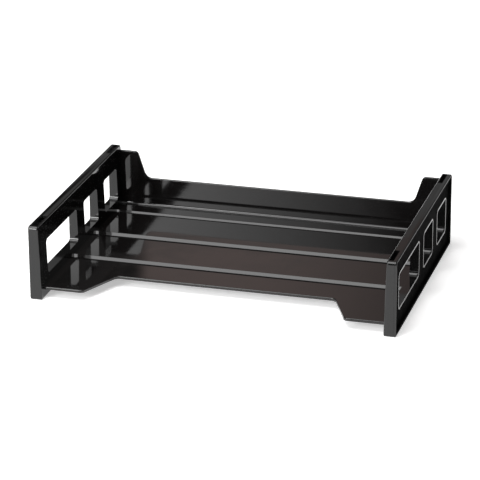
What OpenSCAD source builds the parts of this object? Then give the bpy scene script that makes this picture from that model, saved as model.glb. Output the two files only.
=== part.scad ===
// Side-load letter tray for 11 x 8.5 inch paper, in glossy black plastic.
// The bed (floor and back wall) hangs between two hollow end panels.
// Each end panel is an inner shell closed by an outer cover.
// Frame: origin on the table under the middle, +X right, +Y back, +Z up.

/* [Overall] */
// Width over the outer covers
tray_w = 336; // [320:1:420]
// Depth, front to back
tray_d = 235; // [225:1:300]
// Height of the end panels
tray_h = 70; // [64:1:90]

/* [End panels] */
// Panel thickness at the top edge
panel_t_top = 9.3; // [8.8:0.1:11]
// Panel thickness at the table, where the inner face has drafted out
panel_t_bottom = 11.3; // [11:0.1:14]
// Wall thickness of the inner shell
shell_wall = 2.2; // [1.8:0.1:2.4]
// Radius of the upper front and back corners
corner_r_top = 3.5; // [1:0.5:6]
// Radius of the lower front and back corners
corner_r_bottom = 2; // [1:0.5:4]

/* [Outer covers] */
// Thickness of the cover's raised rim
rim_t = 2.2; // [1.6:0.1:2.6]
// Width of the cover's raised rim
rim_w = 3.2; // [2.8:0.1:5]
// Thickness of the recessed plate inside the rim
plate_t = 1.9; // [1.2:0.1:2.2]

/* [Windows] */
// Length of the front window
front_window_l = 82; // [60:1:86]
// Length of each of the two rear windows
rear_window_l = 38; // [30:1:40]
// Distance from the front edge to the first window
window_margin = 20; // [16:1:24]
// Width of the posts between the windows
post_w = 20; // [14:1:24]
// Height of the sills above the table
window_z0 = 19; // [16:1:24]
// Height of the window heads above the table
window_z1 = 51; // [40:1:54]
// Radius of the window corners
window_r = 3.5; // [1:0.5:6]
// Wall thickness around each window
jamb_wall = 1.6; // [1.2:0.1:2]

/* [Stacking pockets] */
// Length of each pocket in the panel tops
pocket_l = 25; // [15:1:30]
// Depth of each pocket
pocket_depth = 5; // [3:0.5:7]
// Distance from the panel's end to its pocket
pocket_margin = 3.5; // [3:0.5:6]

/* [Bed] */
// Height of the floor's upper face above the table
floor_z = 11; // [9:0.5:14]
// Thickness of the floor
floor_t = 2.8; // [2:0.1:3.5]
// Setback of the floor's front tabs from the panel fronts
tab_setback = 6.5; // [3:0.5:12]
// Depth of the finger notch in the floor's front edge
notch_depth = 41.2; // [20:0.1:60]
// Width of the finger notch where it opens
notch_w = 240.5; // [150:0.5:280]
// Sideways run of the notch's slanted ends
notch_run = 18; // [10:1:40]
// Height of the two low cross ribs
rib_h = 2.4; // [1:0.1:4]
// Distance between cross ribs
rib_pitch = 61.7; // [40:0.1:65]
// Height of the rear cross rib
rear_rib_h = 1.6; // [1:0.1:4]

/* [Back wall] */
// Thickness of the back wall
wall_t = 2.4; // [1.8:0.1:3]
// Height of the lowered middle above the table
wall_z = 38.8; // [25:0.1:55]
// Height of the end tabs above the table
wall_tab_z = 65; // [56:0.5:66]
// Width of the lowered middle, at its floor
wall_dip_w = 264.5; // [150:0.5:270]
// Sideways run of the lowered middle's slanted ends
wall_dip_run = 8.5; // [4:0.5:20]

/* [Hidden] */
$fn = 32;

bed_black = [0.05, 0.05, 0.055];
panel_black = [0.04, 0.04, 0.045];
cover_black = [0.03, 0.03, 0.03];

window_l = [front_window_l, rear_window_l, rear_window_l];

half_w = tray_w / 2;
front_y = -tray_d / 2;
back_y = tray_d / 2;

// Planes across the end panel, from the middle outwards
seam_x = half_w - rim_t;              // where the cover's rim meets the shell
field_step = 0.3;                     // how far the field lies below the seam
field_x = seam_x - field_step;        // outer face of the recessed plate
plate_x = field_x - plate_t;          // inner face of the recessed plate
bead_x = seam_x;                      // ends of the window walls, proud of the plate

fit_gap = 0.15;                       // clearance round parts that slip together
joint_gap = 0.1;                      // clearance between the bed and the panels
eps = 1;                              // how far a cutter runs past a face

pocket_wall = 1.2;
pocket_outer_gap = 1.1;               // from the pocket to the recessed field
cup_outer_wall = 0.9;                 // outer side of the cup round the pocket
cup_rim_drop = 0.1;                   // how far the cup stays below the panel's top
pocket_x0 = half_w - panel_t_top + pocket_wall;
pocket_x1 = field_x - pocket_outer_gap;

pin_r = 1.4;
pin_fit = 0.05;                       // clearance all round a pin in its boss
pin_end_gap = 0.3;                    // space left beyond the end of a pin
pin_bore_r = pin_r + pin_fit;
boss_r = 3;
boss_x = plate_x - 1;                 // end of each boss, short of the plate
pin_x = boss_x - 2;                   // end of each pin, inside its boss
pin_bore_x = pin_x - pin_end_gap;

tongue_l = 1.5;                       // how far the bed's tongues enter the panels
tongue_t = 2;
tongue_w = 30;
tongue_pitch = 75;
wall_y = back_y - 3.5;                // front face of the back wall
wall_tongue_z = [22, 48];
wall_tongue_inset = 0.2;              // from the wall's front face to its tongues
wall_tongue_root = 3;                 // how far a wall tongue reaches back into the wall
wall_fillet = 2.5;                    // cove between the floor and the back wall

first_rib_y = -32.8;
rib_top_w = 1.2;
rib_slope = 1;                        // run of a rib's flanks for each mm of height
rib_heights = [rib_h, rib_h, rear_rib_h];

notch_mouth_r = 5;                    // corners where the notch opens
notch_inner_r = 6;                    // corners at the bottom of the notch
dip_shoulder_r = 4;                   // upper corners of the lowered middle
dip_inner_r = 8;                      // lower corners of the lowered middle
least_r = 0.6;                        // smallest corner radius of an inset outline

// Height-dependent position of the panel's drafted inner face
function inner_x(z) = half_w - panel_t_bottom + (panel_t_bottom - panel_t_top) * z / tray_h;

// Sum of the first n window lengths
function window_run(n) = n == 0 ? 0 : window_l[n - 1] + window_run(n - 1);

// Front edge of window i
function window_y(i) = front_y + window_margin + window_run(i) + i * post_w;

// Middles of the upright strips in front of, between and behind the windows
function pin_ys() = [
    front_y + window_margin / 2,
    window_y(1) - post_w / 2,
    window_y(2) - post_w / 2,
    (window_y(2) + window_l[2] + back_y) / 2,
];

function unit(v) = v / norm(v);

// Points of an arc of radius r that rounds corner b between neighbours a and c
function corner_arc(a, b, c, r, steps) =
    let (
        u = unit(a - b),
        v = unit(c - b),
        half = acos(u * v) / 2,
        centre = b + unit(u + v) * r / sin(half),
        from = b + u * r / tan(half) - centre,
        to = b + v * r / tan(half) - centre,
        a0 = atan2(from[1], from[0]),
        turn = atan2(to[1], to[0]) - a0,
        sweep = turn > 180 ? turn - 360 : turn < -180 ? turn + 360 : turn
    )
    [for (k = [0 : steps]) centre + r * [cos(a0 + sweep * k / steps), sin(a0 + sweep * k / steps)]];

// Outline through corners given as [x, y, radius]; radius 0 leaves a corner sharp
function rounded(corners, steps = 6) = [
    for (i = [0 : len(corners) - 1])
        let (
            n = len(corners),
            a = corners[(i + n - 1) % n],
            b = corners[i],
            c = corners[(i + 1) % n]
        )
        each b[2] == 0
            ? [[b[0], b[1]]]
            : corner_arc([a[0], a[1]], [b[0], b[1]], [c[0], c[1]], b[2], steps)
];

// Extrudes a front-to-back outline (Y, Z) from x0 to x1
module along_x(x0, x1) {
    translate([x0, 0, 0])
        rotate([90, 0, 90])
            linear_extrude(height = x1 - x0)
                children();
}

// Extrudes a side-to-side outline (X, Z) from y0 to y1
module along_y(y0, y1) {
    translate([0, y1, 0])
        rotate([90, 0, 0])
            linear_extrude(height = y1 - y0)
                children();
}

// Side view of a panel, pulled in by inset on every side
module panel_outline(inset = 0) {
    r_top = max(corner_r_top - inset, least_r);
    r_bottom = max(corner_r_bottom - inset, least_r);
    polygon(rounded([
        [front_y + inset, inset, r_bottom],
        [back_y - inset, inset, r_bottom],
        [back_y - inset, tray_h - inset, r_top],
        [front_y + inset, tray_h - inset, r_top],
    ]));
}

// Side view of window i, grown by grow on every side
module window_outline(i, grow = 0) {
    y0 = window_y(i) - grow;
    y1 = window_y(i) + window_l[i] + grow;
    z0 = window_z0 - grow;
    z1 = window_z1 + grow;
    r = window_r + grow;
    polygon(rounded([[y0, z0, r], [y1, z0, r], [y1, z1, r], [y0, z1, r]]));
}

// Everything outside the drafted inner face, starting depth into the panel
module behind_inner_face(depth, x_end) {
    along_y(front_y - eps, back_y + eps)
        polygon([
            [inner_x(-eps) + depth, -eps],
            [x_end, -eps],
            [x_end, tray_h + eps],
            [inner_x(tray_h + eps) + depth, tray_h + eps],
        ]);
}

// A box by two corners
module span(low, high) {
    translate(low)
        cube(high - low);
}

// Places its children at the front pocket and at the back pocket
module at_pockets() {
    for (y = [front_y + pocket_margin, back_y - pocket_margin - pocket_l])
        translate([0, y, 0])
            children();
}

// Outer shape of the cup that forms a stacking pocket
module pocket_cup(grow = 0) {
    span(
        [inner_x(tray_h), -pocket_wall - grow, tray_h - pocket_depth - pocket_wall - grow],
        [pocket_x1 + cup_outer_wall + grow, pocket_l + pocket_wall + grow, tray_h - cup_rim_drop]
    );
}

// Space inside a stacking pocket
module pocket_hollow() {
    span(
        [pocket_x0, 0, tray_h - pocket_depth],
        [pocket_x1, pocket_l, tray_h + eps]
    );
}

// Tongues along the sides of the floor
module floor_tongues(x0, x1, grow = 0) {
    mid_z = floor_z - floor_t / 2;
    for (i = [-1 : 1])
        span(
            [x0, i * tongue_pitch - tongue_w / 2 - grow, mid_z - tongue_t / 2 - grow],
            [x1, i * tongue_pitch + tongue_w / 2 + grow, mid_z + tongue_t / 2 + grow]
        );
}

// Tongue up the side of the back wall
module wall_tongue(x0, x1, grow = 0) {
    y0 = wall_y + wall_tongue_inset;
    span(
        [x0, y0 - grow, wall_tongue_z[0] - grow],
        [x1, y0 + tongue_t + grow, wall_tongue_z[1] + grow]
    );
}

// Inner shell of the right-hand end panel, open on its outer side
module end_panel_shell() {
    difference() {
        union() {
            // Inner face with its perimeter walls
            difference() {
                intersection() {
                    behind_inner_face(0, seam_x);
                    along_x(0, seam_x)
                        panel_outline();
                }
                intersection() {
                    behind_inner_face(shell_wall, half_w);
                    along_x(0, half_w)
                        panel_outline(shell_wall);
                }
            }
            // Walls round the windows
            intersection() {
                behind_inner_face(0, bead_x);
                along_x(0, half_w)
                    for (i = [0 : len(window_l) - 1])
                        window_outline(i, jamb_wall);
            }
            // Cups of the stacking pockets, kept inside the panel's rounded corners
            intersection() {
                behind_inner_face(0, half_w);
                along_x(0, half_w)
                    panel_outline(cup_rim_drop);
                at_pockets()
                    pocket_cup();
            }
            // Bosses that hold the cover's pins
            for (y = pin_ys())
                intersection() {
                    behind_inner_face(0, half_w);
                    translate([0, y, (window_z0 + window_z1) / 2])
                        rotate([0, 90, 0])
                            cylinder(r = boss_r, h = boss_x);
                }
        }
        along_x(0, half_w)
            for (i = [0 : len(window_l) - 1])
                window_outline(i);
        at_pockets()
            pocket_hollow();
        for (y = pin_ys())
            translate([pin_bore_x, y, (window_z0 + window_z1) / 2])
                rotate([0, 90, 0])
                    cylinder(r = pin_bore_r, h = half_w);
        // Blind slots for the bed's tongues
        floor_slot_x = inner_x(floor_z - floor_t / 2);
        floor_tongues(floor_slot_x - eps, floor_slot_x + tongue_l + joint_gap, joint_gap);
        wall_slot_x = inner_x(wall_tongue_z[1]);
        wall_tongue(wall_slot_x - 2 * eps, wall_slot_x + tongue_l, joint_gap);
    }
}

// Outer cover of the right-hand end panel: raised rim, recessed plate and pins
module outer_cover() {
    lap = shell_wall + fit_gap;
    difference() {
        union() {
            along_x(seam_x, half_w)
                difference() {
                    panel_outline();
                    panel_outline(rim_w);
                }
            along_x(plate_x, half_w)
                difference() {
                    panel_outline(lap);
                    panel_outline(rim_w);
                }
            along_x(plate_x, field_x)
                panel_outline(lap);
            for (y = pin_ys())
                translate([pin_x, y, (window_z0 + window_z1) / 2])
                    rotate([0, 90, 0])
                        cylinder(r = pin_r, h = plate_x - pin_x + plate_t / 2);
        }
        along_x(0, half_w + eps)
            for (i = [0 : len(window_l) - 1])
                window_outline(i, jamb_wall + fit_gap);
        // Room for the pocket cups behind the rim
        intersection() {
            at_pockets()
                pocket_cup(fit_gap);
            along_x(0, seam_x)
                panel_outline();
        }
    }
}

// Floor seen from above, with the finger notch in its front edge
module floor_outline() {
    edge_x = inner_x(floor_z - floor_t) - joint_gap;
    tab_y = front_y + tab_setback;
    notch_y = tab_y + notch_depth;
    mouth_x = notch_w / 2;
    polygon(rounded([
        [-edge_x, tab_y, 0],
        [-mouth_x, tab_y, notch_mouth_r],
        [-mouth_x + notch_run, notch_y, notch_inner_r],
        [mouth_x - notch_run, notch_y, notch_inner_r],
        [mouth_x, tab_y, notch_mouth_r],
        [edge_x, tab_y, 0],
        [edge_x, wall_y + wall_t, 0],
        [-edge_x, wall_y + wall_t, 0],
    ]));
}

// Side view of a cross rib with sloping flanks, standing on the floor
module rib_section(height) {
    foot = rib_top_w / 2 + rib_slope * height;
    polygon([
        [-foot, -floor_t / 2],
        [foot, -floor_t / 2],
        [foot, 0],
        [rib_top_w / 2, height],
        [-rib_top_w / 2, height],
        [-foot, 0],
    ]);
}

// Cove that joins the floor to the back wall
module wall_cove_section() {
    difference() {
        translate([-wall_fillet, -floor_t / 2])
            square([wall_fillet + wall_t / 2, wall_fillet + floor_t / 2]);
        translate([-wall_fillet, wall_fillet])
            circle(r = wall_fillet);
    }
}

// Back wall seen from the front: high end tabs and a lowered middle
module wall_outline() {
    low_z = floor_z - floor_t;
    dip_x = wall_dip_w / 2;
    function edge_x(z) = inner_x(z) - joint_gap;
    polygon(rounded([
        [-edge_x(low_z), low_z, 0],
        [edge_x(low_z), low_z, 0],
        [edge_x(wall_tab_z), wall_tab_z, 0],
        [dip_x + wall_dip_run, wall_tab_z, dip_shoulder_r],
        [dip_x, wall_z, dip_inner_r],
        [-dip_x, wall_z, dip_inner_r],
        [-dip_x - wall_dip_run, wall_tab_z, dip_shoulder_r],
        [-edge_x(wall_tab_z), wall_tab_z, 0],
    ]));
}

// Floor, ribs, cove and back wall, with the tongues that hold them in the panels
module tray_bed() {
    edge_x = inner_x(floor_z - floor_t) - joint_gap;
    color(bed_black) {
        translate([0, 0, floor_z - floor_t])
            linear_extrude(height = floor_t)
                floor_outline();
        for (i = [0 : len(rib_heights) - 1])
            translate([0, first_rib_y + i * rib_pitch, floor_z])
                along_x(-edge_x, edge_x)
                    rib_section(rib_heights[i]);
        translate([0, wall_y, floor_z])
            along_x(-edge_x, edge_x)
                wall_cove_section();
        along_y(wall_y, wall_y + wall_t)
            wall_outline();
        for (side = [0, 1])
            mirror([side, 0, 0]) {
                floor_tongues(edge_x - eps, inner_x(floor_z - floor_t / 2) + tongue_l);
                wall_tongue(
                    inner_x(wall_tongue_z[0]) - wall_tongue_root,
                    inner_x(wall_tongue_z[1]) + tongue_l - joint_gap
                );
            }
    }
}

module left_end_panel() {
    color(panel_black)
        mirror([1, 0, 0])
            end_panel_shell();
}

module left_outer_cover() {
    color(cover_black)
        mirror([1, 0, 0])
            outer_cover();
}

module right_end_panel() {
    color(panel_black)
        end_panel_shell();
}

module right_outer_cover() {
    color(cover_black)
        outer_cover();
}

tray_bed();
left_end_panel();
left_outer_cover();
right_end_panel();
right_outer_cover();
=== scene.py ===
"""Side-load letter tray in glossy black plastic, on a pale studio floor."""

import math

import bmesh
import bpy
from mathutils import Matrix, Vector


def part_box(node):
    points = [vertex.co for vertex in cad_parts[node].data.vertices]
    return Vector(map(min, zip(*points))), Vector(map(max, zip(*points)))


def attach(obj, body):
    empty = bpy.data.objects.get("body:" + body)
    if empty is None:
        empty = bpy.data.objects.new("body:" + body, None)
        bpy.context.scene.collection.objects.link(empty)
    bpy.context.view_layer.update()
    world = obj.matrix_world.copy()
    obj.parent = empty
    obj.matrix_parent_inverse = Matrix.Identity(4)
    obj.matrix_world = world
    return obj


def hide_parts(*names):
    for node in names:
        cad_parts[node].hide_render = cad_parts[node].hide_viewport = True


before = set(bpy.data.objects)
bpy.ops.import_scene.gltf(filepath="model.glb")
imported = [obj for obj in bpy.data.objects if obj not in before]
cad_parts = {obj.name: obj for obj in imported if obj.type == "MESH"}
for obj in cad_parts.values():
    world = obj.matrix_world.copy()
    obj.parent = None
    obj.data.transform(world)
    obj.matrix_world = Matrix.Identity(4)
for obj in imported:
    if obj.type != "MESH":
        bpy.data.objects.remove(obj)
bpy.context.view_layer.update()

MM = 0.001

# Camera: where it stands round the tray, how far off, and how it is aimed
CAMERA_AZIMUTH = math.radians(16.08)
CAMERA_ELEVATION = math.radians(21.14)
CAMERA_ROLL = math.radians(-0.354)
CAMERA_DISTANCE = 2.3936
CAMERA_SLIDE = (-0.00533, 0.02812)
CAMERA_LENS = 194.74
SENSOR = 36.0
CAMERA_REACH = 50

# Bed, in millimetres: where its surfaces lie, and the ribs as (y, height, half crest, flank run)
FLOOR_TOP = 11
FLOOR_UNDER = 8.2
FRONT_TAB_Y = -111
FRONT_EDGE_R = 1.0
FRONT_UNDER_R = 0.5
NOTCH_Y = -69.8
NOTCH_MOUTH_X = 120.25
NOTCH_RUN = 18
NOTCH_MOUTH_R = 5
NOTCH_INNER_R = 6
WALL_Y = 114
WALL_T = 2.4
WALL_TAB_TOP = 65
WALL_DIP_TOP = 38.8
WALL_DIP_X = 132.25
WALL_DIP_RUN = 8.5
WALL_COVE = 2.5
WALL_CREST_R = 0.9
WALL_HEEL_R = 1.2
DIP_SHOULDER_R = 4
DIP_INNER_R = 8
RIBS = [(-32.8, 2.4, 0.6, 2.4), (28.9, 2.4, 0.6, 2.4), (90.6, 1.6, 0.6, 1.6)]
RIB_FOOT_R = 0.5
RIB_CREST_R = 0.45
CORNER_STEPS = 5

# Panels, in millimetres: the drafted inner face, the rim and field of the outer face, and the edges
INNER_FACE_X = 156.7
INNER_FACE_DRAFT = 2 / 70
BED_SINK = 0.3
RIM_T = 2.2
FIELD_STEP = 0.3
FIELD_EDGE = 0.15
FACE_SKIN = 0.03
OUTLINE_BAND = 1.1
EDGE_SLACK = 0.8
OUTLINE_ROUND = 1.2
OUTLINE_STEPS = 4
DETAIL_ROUND = 0.6
DETAIL_STEPS = 3
WELD_GAP = 0.01
FLAT_ANGLE = math.radians(1)
SHARP_ANGLE = math.radians(35)
BED_SHARP_ANGLE = math.radians(30)

# Plastic: its optics, its three blacks, and how much rougher scuffs make it
PLASTIC_IOR = 1.5
GLOSS_SPECULAR = 0.5
FIELD_SPECULAR = 0.001
GLOSS_ROUGHNESS = (0.035, 0.085)
MATTE_ROUGHNESS = (0.42, 0.55)
BED_BLACK = (0.005, 0.0045, 0.0045)
PANEL_BLACK = (0.004, 0.004, 0.004)
FIELD_BLACK = (0.003, 0.003, 0.003)
BED_SCUFFS = 0.14
PANEL_SCUFFS = 0.08

# How many times lighter dust makes a finish, and the depth of its relief in millimetres
GLOSS_DUST = 2.5
MATTE_DUST = 2
RIPPLE_DEPTH = 0.05
PEEL_DEPTH = 0.0011
COARSE_GRAIN_DEPTH = 0.03
FINE_GRAIN_DEPTH = 0.012

# Studio floor: its width in metres, how pale it is, and the faint glow that keeps it white
FLOOR_WIDTH = 12
FLOOR_WHITE = 0.9
FLOOR_GLOW = 0.45

# Softboxes: azimuth, elevation, distance and size in metres, and how brightly their two sides glow
SOFTBOXES = {
    "front_softbox": (-24, 24, 2.6, (1.5, 1.0), (16, 0)),
    "top_softbox": (-35, 70, 2.2, (2.0, 1.7), (4.8, 4.8)),
}
SOFTBOX_FALL = (0.45, 0.9)

# Studio behind the tray: edges of the warm card as sines of angles, and how brightly things glow
CARD_AZIMUTH = 196.3
CARD_WARMTH = (1.0, 0.78, 0.73)
CARD_GLOW = 0.41
CARD_LOW_GLOW = 0.04
CARD_FALL = (-0.113, 0)
CARD_LEFT_EDGE = (0.031, 0.038)
CARD_FOOT = (0.352, 0.363)
HORIZON_GLOW = 0.22
HORIZON_ELEVATION = 12
HORIZON_ENDS = (0.9, 0.95)
DARK_GLOW = 0.02
ROOM_GLOW = 0.16

# The panels' size, from the frame
panel_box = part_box("right_outer_cover")
half_width = panel_box[1].x / MM
panel_top = panel_box[1].z / MM


def make_camera():
    """A long lens at the front right, looking down at the tray."""
    back = Vector((
        math.sin(CAMERA_AZIMUTH) * math.cos(CAMERA_ELEVATION),
        -math.cos(CAMERA_AZIMUTH) * math.cos(CAMERA_ELEVATION),
        math.sin(CAMERA_ELEVATION),
    ))
    right = Vector((0, 0, 1)).cross(back).normalized()
    up = back.cross(right)
    roll_cos = math.cos(CAMERA_ROLL)
    roll_sin = math.sin(CAMERA_ROLL)
    x_axis = roll_cos * right + roll_sin * up
    y_axis = roll_cos * up - roll_sin * right
    place = back * CAMERA_DISTANCE + x_axis * CAMERA_SLIDE[0] + y_axis * CAMERA_SLIDE[1]
    data = bpy.data.cameras.new("camera")
    data.lens = CAMERA_LENS
    data.sensor_fit = "HORIZONTAL"
    data.sensor_width = SENSOR
    data.clip_end = CAMERA_REACH
    camera = bpy.data.objects.new("camera", data)
    turn = Matrix((x_axis, y_axis, back)).transposed().to_4x4()
    camera.matrix_world = Matrix.Translation(place) @ turn
    bpy.context.collection.objects.link(camera)
    bpy.context.scene.camera = camera


def towards(azimuth, elevation):
    """Unit vector to a place round the tray. Azimuth 0 is in front of it, 90 to its right."""
    a = math.radians(azimuth)
    e = math.radians(elevation)
    return Vector((math.sin(a) * math.cos(e), -math.cos(a) * math.cos(e), math.sin(e)))


def rounded(corners, steps=CORNER_STEPS):
    """Closed outline through (u, v, radius) corners; a radius of 0 leaves a corner sharp."""
    points = []
    count = len(corners)
    for i, (u, v, radius) in enumerate(corners):
        here = Vector((u, v))
        if radius == 0:
            points.append(here)
            continue
        before = (Vector(corners[i - 1][:2]) - here).normalized()
        after = (Vector(corners[(i + 1) % count][:2]) - here).normalized()
        half = before.angle(after) / 2
        centre = here + (before + after).normalized() * radius / math.sin(half)
        start = here + before * radius / math.tan(half) - centre
        stop = here + after * radius / math.tan(half) - centre
        sweep = start.angle_signed(stop)
        for k in range(steps + 1):
            points.append(centre + Matrix.Rotation(-sweep * k / steps, 2) @ start)
    return points


def level_at(outline, u):
    """Height of an open outline, running left to right, above u."""
    for a, b in zip(outline, outline[1:]):
        if a.x <= u <= b.x and b.x > a.x:
            return a.y + (b.y - a.y) * (u - a.x) / (b.x - a.x)
    return outline[0].y if u < outline[0].x else outline[-1].y


def inner_face(z):
    """X of the right-hand panel's drafted inner face at height z."""
    return INNER_FACE_X + INNER_FACE_DRAFT * z


def bed_section(front_y, top_z):
    """Side view of the bed where its front edge is at front_y and its wall ends at top_z."""
    corners = [(front_y, FLOOR_UNDER, FRONT_UNDER_R), (front_y, FLOOR_TOP, FRONT_EDGE_R)]
    for y, height, half_crest, run in RIBS:
        corners += [
            (y - half_crest - run, FLOOR_TOP, RIB_FOOT_R),
            (y - half_crest, FLOOR_TOP + height, RIB_CREST_R),
            (y + half_crest, FLOOR_TOP + height, RIB_CREST_R),
            (y + half_crest + run, FLOOR_TOP, RIB_FOOT_R),
        ]
    corners += [
        (WALL_Y, FLOOR_TOP, WALL_COVE),
        (WALL_Y, top_z, WALL_CREST_R),
        (WALL_Y + WALL_T, top_z, WALL_CREST_R),
        (WALL_Y + WALL_T, FLOOR_UNDER, WALL_HEEL_R),
    ]
    return rounded(corners)


def open_outline(corners):
    """Rounded outline through corners whose two ends stay sharp."""
    return rounded([(*corners[0], 0), *corners[1:-1], (*corners[-1], 0)])


def build_bed():
    """Floor, ribs, cove and back wall as one smooth skin swept from panel to panel."""
    end = inner_face(panel_top) + EDGE_SLACK
    front = open_outline([
        (-end, FRONT_TAB_Y),
        (-NOTCH_MOUTH_X, FRONT_TAB_Y, NOTCH_MOUTH_R),
        (-NOTCH_MOUTH_X + NOTCH_RUN, NOTCH_Y, NOTCH_INNER_R),
        (NOTCH_MOUTH_X - NOTCH_RUN, NOTCH_Y, NOTCH_INNER_R),
        (NOTCH_MOUTH_X, FRONT_TAB_Y, NOTCH_MOUTH_R),
        (end, FRONT_TAB_Y),
    ])
    top = open_outline([
        (-end, WALL_TAB_TOP),
        (-WALL_DIP_X - WALL_DIP_RUN, WALL_TAB_TOP, DIP_SHOULDER_R),
        (-WALL_DIP_X, WALL_DIP_TOP, DIP_INNER_R),
        (WALL_DIP_X, WALL_DIP_TOP, DIP_INNER_R),
        (WALL_DIP_X + WALL_DIP_RUN, WALL_TAB_TOP, DIP_SHOULDER_R),
        (end, WALL_TAB_TOP),
    ])
    inside = inner_face(0) - EDGE_SLACK
    stations = sorted({round(p.x, 3) for p in front + top if abs(p.x) < inside})
    mesh = bmesh.new()
    rings = []
    # The first and last rings are held to the panels' inner faces, whatever their draft
    for x in [-math.inf, *stations, math.inf]:
        u = max(-end, min(end, x))
        ring = []
        for p in bed_section(level_at(front, u), level_at(top, u)):
            edge = inner_face(p.y) + BED_SINK
            ring.append(mesh.verts.new(Vector((max(-edge, min(edge, x)), p.x, p.y)) * MM))
        rings.append(ring)
    for a, b in zip(rings, rings[1:]):
        for i in range(len(a)):
            j = (i + 1) % len(a)
            mesh.faces.new((a[i], a[j], b[j], b[i]))
    mesh.faces.new(rings[0][::-1])
    mesh.faces.new(rings[-1])
    bmesh.ops.recalc_face_normals(mesh, faces=mesh.faces)
    for face in mesh.faces:
        face.smooth = True
    data = bpy.data.meshes.new("bed")
    mesh.to_mesh(data)
    mesh.free()
    data.set_sharp_from_angle(angle=BED_SHARP_ANGLE)
    bed = bpy.data.objects.new("bed", data)
    bpy.context.collection.objects.link(bed)
    keep_flats_flat(bed)
    return bed


def keep_flats_flat(piece):
    """Large flat faces set the shading of the small rounded ones beside them."""
    weighted = piece.modifiers.new("flats", "WEIGHTED_NORMAL")
    weighted.keep_sharp = True
    weighted.weight = 100


class Nodes:
    """Short calls for building one node tree."""

    def __init__(self, tree):
        self.tree = tree
        tree.nodes.clear()

    def add(self, kind, **settings):
        """A new node of this kind, with its settings filled in."""
        node = self.tree.nodes.new(kind)
        for key, value in settings.items():
            setattr(node, key, value)
        return node

    def link(self, value, socket):
        """Joins a node's output to a socket, or sets the socket to a plain value."""
        if isinstance(value, bpy.types.NodeSocket):
            self.tree.links.new(value, socket)
        else:
            socket.default_value = value

    def math(self, operation, *values):
        """The result of one sum on sockets or plain values."""
        node = self.add("ShaderNodeMath", operation=operation)
        for value, socket in zip(values, node.inputs):
            self.link(value, socket)
        return node.outputs[0]

    def axes(self, vector):
        """The three outputs "X", "Y" and "Z" of a vector."""
        node = self.add("ShaderNodeSeparateXYZ")
        self.link(vector, node.inputs[0])
        return node.outputs

    def along(self, vector, direction):
        """How far a vector reaches in a fixed direction."""
        node = self.add("ShaderNodeVectorMath", operation="DOT_PRODUCT")
        self.link(vector, node.inputs[0])
        self.link(direction, node.inputs[1])
        return node.outputs["Value"]

    def remap(self, value, low, high, to_low, to_high, curve="SMOOTHSTEP"):
        """Carries the range low to high over to to_low to to_high, and holds it there beyond."""
        node = self.add("ShaderNodeMapRange", interpolation_type=curve)
        for socket, amount in zip(node.inputs, (value, low, high, to_low, to_high)):
            self.link(amount, socket)
        return node.outputs[0]


class Finish(Nodes):
    """Nodes of one plastic finish, laid out in the tray's own coordinates."""

    def __init__(self, name):
        self.material = bpy.data.materials.new(name)
        self.material.use_nodes = True
        super().__init__(self.material.node_tree)
        self.place = self.add("ShaderNodeTexCoord").outputs["Object"]

    def noise(self, size, detail=2.0, stretch=(1, 1, 1)):
        """Soft noise with features of about size millimetres, drawn out by stretch along each axis."""
        scaled = self.add("ShaderNodeVectorMath", operation="MULTIPLY")
        self.link(self.place, scaled.inputs[0])
        self.link([1 / (size * MM * s) for s in stretch], scaled.inputs[1])
        node = self.add("ShaderNodeTexNoise")
        self.link(scaled.outputs[0], node.inputs["Vector"])
        self.link(1, node.inputs["Scale"])
        self.link(detail, node.inputs["Detail"])
        return node.outputs["Fac"]

    def cells(self, size):
        """Distance field of round cells about size millimetres across."""
        node = self.add("ShaderNodeTexVoronoi", feature="SMOOTH_F1")
        self.link(self.place, node.inputs["Vector"])
        self.link(1 / (size * MM), node.inputs["Scale"])
        return node.outputs["Distance"]

    def bump(self, height, depth, under=None):
        """Relief whose height field, 0 to 1, stands for depth millimetres."""
        node = self.add("ShaderNodeBump")
        self.link(depth * MM, node.inputs["Distance"])
        self.link(height, node.inputs["Height"])
        if under is not None:
            self.link(under, node.inputs["Normal"])
        return node.outputs["Normal"]

    def tint(self, fac, dark, light):
        """A colour that goes from dark to light as fac goes from 0 to 1."""
        node = self.add("ShaderNodeMix", data_type="RGBA")
        self.link(fac, node.inputs["Factor"])
        self.link((*dark, 1), node.inputs["A"])
        self.link((*light, 1), node.inputs["B"])
        return node.outputs["Result"]

    def plastic(self, colour, roughness, specular, normal):
        """Surface of uncoated plastic."""
        node = self.add("ShaderNodeBsdfPrincipled")
        self.link(colour, node.inputs["Base Color"])
        self.link(roughness, node.inputs["Roughness"])
        self.link(specular, node.inputs["Specular IOR Level"])
        self.link(normal, node.inputs["Normal"])
        self.link(PLASTIC_IOR, node.inputs["IOR"])
        return node.outputs["BSDF"]

    def done(self, surface):
        """The material, with surface as what it shows."""
        self.link(surface, self.add("ShaderNodeOutputMaterial").inputs["Surface"])
        return self.material


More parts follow.
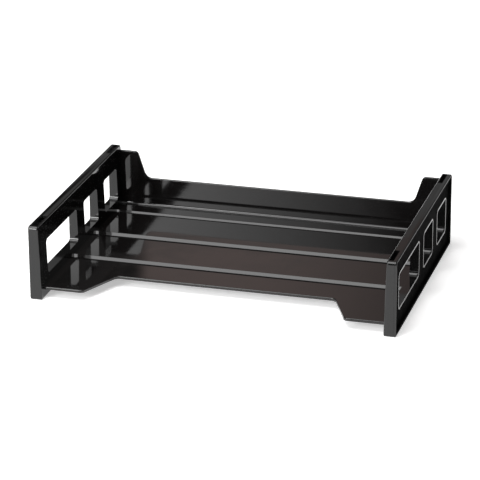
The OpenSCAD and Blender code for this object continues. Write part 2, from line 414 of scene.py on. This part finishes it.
def edge_nodes(name, low_x, high_x):
    """Geometry nodes that mark the sharp edges round a panel part's outline for the wider bevel.

    Only edges from low_x to high_x from the tray's middle are marked, with a little slack.
    """
    tree = bpy.data.node_groups.new(name, "GeometryNodeTree")
    for direction in ("INPUT", "OUTPUT"):
        tree.interface.new_socket("Geometry", in_out=direction, socket_type="NodeSocketGeometry")
    nodes = Nodes(tree)
    band = OUTLINE_BAND * MM
    axes = nodes.axes(nodes.add("GeometryNodeInputPosition").outputs[0])
    out = nodes.math("ABSOLUTE", axes["X"])
    past_ends = nodes.math("SUBTRACT", nodes.math("ABSOLUTE", axes["Y"]), panel_box[1].y - band)
    past_top = nodes.math("SUBTRACT", axes["Z"], panel_box[1].z - band)
    past_foot = nodes.math("SUBTRACT", band, axes["Z"])
    outline = nodes.math("MAXIMUM", past_ends, nodes.math("MAXIMUM", past_top, past_foot))
    chosen = nodes.math("GREATER_THAN", outline, 0)
    chosen = nodes.math("MULTIPLY", chosen, nodes.math("GREATER_THAN", out, (low_x - EDGE_SLACK) * MM))
    chosen = nodes.math("MULTIPLY", chosen, nodes.math("LESS_THAN", out, (high_x + EDGE_SLACK) * MM))
    angle = nodes.add("GeometryNodeInputMeshEdgeAngle").outputs["Unsigned Angle"]
    sharp = nodes.math("GREATER_THAN", angle, SHARP_ANGLE)
    faces = nodes.add("GeometryNodeSetShadeSmooth")
    edges = nodes.add("GeometryNodeSetShadeSmooth", domain="EDGE")
    store = nodes.add("GeometryNodeStoreNamedAttribute", domain="EDGE", data_type="FLOAT")
    nodes.link("bevel_weight_edge", store.inputs["Name"])
    nodes.link(nodes.add("NodeGroupInput").outputs[0], faces.inputs["Geometry"])
    nodes.link(faces.outputs[0], edges.inputs["Geometry"])
    nodes.link(nodes.math("SUBTRACT", 1, sharp), edges.inputs["Shade Smooth"])
    nodes.link(edges.outputs[0], store.inputs["Geometry"])
    nodes.link(nodes.math("MULTIPLY", chosen, sharp), store.inputs["Value"])
    nodes.link(store.outputs[0], nodes.add("NodeGroupOutput").inputs[0])
    return tree


def round_edges(node, weighting):
    """Rounds a CAD node's edges with modifiers, which leave its own vertices alone."""
    weld = node.modifiers.new("weld", "WELD")
    weld.merge_threshold = WELD_GAP * MM
    flat = node.modifiers.new("flat", "DECIMATE")
    flat.decimate_type = "DISSOLVE"
    flat.angle_limit = FLAT_ANGLE
    weights = node.modifiers.new("weights", "NODES")
    weights.node_group = weighting
    outline = node.modifiers.new("outline", "BEVEL")
    outline.width = OUTLINE_ROUND * MM
    outline.segments = OUTLINE_STEPS
    outline.limit_method = "WEIGHT"
    outline.use_clamp_overlap = False
    details = node.modifiers.new("details", "BEVEL")
    details.width = DETAIL_ROUND * MM
    details.segments = DETAIL_STEPS
    details.limit_method = "ANGLE"
    details.angle_limit = SHARP_ANGLE
    details.harden_normals = True


def moulded_gloss(nodes, colour, scuff_stretch, scuffs):
    """Polished plastic: a slow mould ripple, orange peel, dulled patches and hairline scuffs."""
    hairs = nodes.remap(nodes.noise(0.5, 1, scuff_stretch), 0.66, 0.72, 0, 1)
    handled = nodes.remap(nodes.noise(18), 0.5, 0.62, 0, scuffs)
    dull = nodes.remap(nodes.noise(28, 3), 0.3, 0.75, *GLOSS_ROUGHNESS)
    roughness = nodes.math("ADD", dull, nodes.math("MULTIPLY", hairs, handled))
    dust = nodes.remap(nodes.noise(1.1, 4), 0.62, 0.8, 0, 1)
    shade = nodes.tint(dust, colour, [c * GLOSS_DUST for c in colour])
    ripple = nodes.bump(nodes.noise(34, 1), RIPPLE_DEPTH)
    peel = nodes.bump(nodes.noise(1.6, 2), PEEL_DEPTH, ripple)
    return nodes.plastic(shade, roughness, GLOSS_SPECULAR, peel)


def grained_matte(nodes, colour):
    """Spark-eroded grain in two sizes, unevenly dull, with a little dust."""
    coarse = nodes.bump(nodes.cells(0.7), COARSE_GRAIN_DEPTH)
    grain = nodes.bump(nodes.noise(0.25, 3), FINE_GRAIN_DEPTH, coarse)
    dull = nodes.remap(nodes.noise(12, 3), 0.3, 0.7, *MATTE_ROUGHNESS)
    dust = nodes.remap(nodes.noise(0.9, 4), 0.6, 0.8, 0, 1)
    shade = nodes.tint(dust, colour, [c * MATTE_DUST for c in colour])
    return nodes.plastic(shade, dull, FIELD_SPECULAR, grain)


def bed_plastic():
    """Gloss with scuffs that run front to back, the way paper slides in and out."""
    nodes = Finish("bed_plastic")
    return nodes.done(moulded_gloss(nodes, BED_BLACK, (1, 60, 1), BED_SCUFFS))


def panel_gloss(nodes):
    """Gloss with a few short scuffs from stacking and carrying."""
    return moulded_gloss(nodes, PANEL_BLACK, (1, 25, 25), PANEL_SCUFFS)


def panel_plastic():
    """The same gloss all over."""
    nodes = Finish("panel_plastic")
    return nodes.done(panel_gloss(nodes))


def cover_plastic():
    """Grain over the recessed field and the outer face, with polished edges all round."""
    nodes = Finish("cover_plastic")
    field_x = half_width - RIM_T - FIELD_STEP
    out = nodes.math("ABSOLUTE", nodes.axes(nodes.place)["X"])
    above_field = nodes.math("GREATER_THAN", out, (field_x + FIELD_EDGE) * MM)
    below_face = nodes.math("LESS_THAN", out, (half_width - FACE_SKIN) * MM)
    mix = nodes.add("ShaderNodeMixShader")
    nodes.link(nodes.math("MULTIPLY", above_field, below_face), mix.inputs[0])
    nodes.link(grained_matte(nodes, FIELD_BLACK), mix.inputs[1])
    nodes.link(panel_gloss(nodes), mix.inputs[2])
    return nodes.done(mix.outputs[0])


def make_floor():
    """Pale sweep under the tray, faintly glowing so that it stays white."""
    bpy.ops.mesh.primitive_plane_add(size=FLOOR_WIDTH)
    floor = bpy.context.object
    floor.name = "studio_floor"
    material = bpy.data.materials.new("studio_floor")
    material.use_nodes = True
    inputs = material.node_tree.nodes["Principled BSDF"].inputs
    inputs["Base Color"].default_value = (FLOOR_WHITE, FLOOR_WHITE, FLOOR_WHITE, 1)
    inputs["Emission Color"].default_value = (1, 1, 1, 1)
    inputs["Emission Strength"].default_value = FLOOR_GLOW
    inputs["Roughness"].default_value = 1.0
    inputs["Specular IOR Level"].default_value = 0.0
    floor.data.materials.append(material)


def make_softbox(name, azimuth, elevation, distance, size, glow):
    """A panel aimed at the tray; its glow runs from one side to the other, as seen from the tray."""
    direction = towards(azimuth, elevation)
    bpy.ops.mesh.primitive_plane_add(size=1)
    panel = bpy.context.object
    panel.name = name
    panel.dimensions = (*size, 0)
    panel.location = direction * distance
    panel.rotation_euler = direction.to_track_quat("Z", "Y").to_euler()
    panel.visible_camera = False
    material = bpy.data.materials.new(name)
    material.use_nodes = True
    nodes = Nodes(material.node_tree)
    across = nodes.axes(nodes.add("ShaderNodeTexCoord").outputs["Generated"])["X"]
    light = nodes.add("ShaderNodeEmission")
    nodes.link(nodes.remap(across, *SOFTBOX_FALL, *glow, curve="LINEAR"), light.inputs["Strength"])
    nodes.link(light.outputs[0], nodes.add("ShaderNodeOutputMaterial").inputs["Surface"])
    panel.data.materials.append(material)


def make_world():
    """Dim room, dark round a warm card that stands behind the tray above a low grey horizon."""
    world = bpy.data.worlds.new("studio")
    world.use_nodes = True
    nodes = Nodes(world.node_tree)
    place = nodes.add("ShaderNodeTexCoord").outputs["Generated"]

    def sky(colour, strength):
        node = nodes.add("ShaderNodeBackground")
        nodes.link((*colour, 1), node.inputs["Color"])
        nodes.link(strength, node.inputs["Strength"])
        return node.outputs[0]

    leftwards = nodes.along(place, towards(CARD_AZIMUTH + 90, 0))
    height = nodes.along(place, Vector((0, 0, 1)))
    inwards = nodes.along(place, towards(CARD_AZIMUTH, HORIZON_ELEVATION))
    card = nodes.remap(leftwards, *CARD_FALL, CARD_LOW_GLOW, CARD_GLOW)
    card = nodes.math("MULTIPLY", card, nodes.remap(leftwards, *CARD_LEFT_EDGE, 1, 0))
    card = nodes.math("MULTIPLY", card, nodes.remap(height, *CARD_FOOT, 0, 1))
    horizon = nodes.remap(height, *CARD_FOOT, HORIZON_GLOW, DARK_GLOW)
    horizon = nodes.math("MULTIPLY", horizon, nodes.remap(inwards, *HORIZON_ENDS, 0, 1))
    room = nodes.math("ADD", horizon, nodes.remap(inwards, *HORIZON_ENDS, ROOM_GLOW, 0))
    both = nodes.add("ShaderNodeAddShader")
    nodes.link(sky(CARD_WARMTH, card), both.inputs[0])
    nodes.link(sky((1, 1, 1), room), both.inputs[1])
    nodes.link(both.outputs[0], nodes.add("ShaderNodeOutputWorld").inputs["Surface"])
    bpy.context.scene.world = world


make_camera()
make_world()
make_floor()
for name, softbox in SOFTBOXES.items():
    make_softbox(name, *softbox)
bpy.context.scene.view_settings.view_transform = "Standard"

finishes = {"bed": bed_plastic(), "panel": panel_plastic(), "cover": cover_plastic()}
weightings = {
    "panel": edge_nodes("panel_edges", inner_face(0), inner_face(panel_top)),
    "cover": edge_nodes("cover_edges", half_width, half_width),
}
bed = build_bed()
bed.data.materials.append(finishes["bed"])
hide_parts("tray_bed")
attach(bed, "root")
for name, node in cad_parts.items():
    kind = name.split("_")[-1]
    for slot in node.material_slots:
        slot.material = finishes[kind]
    if kind in weightings:
        round_edges(node, weightings[kind])
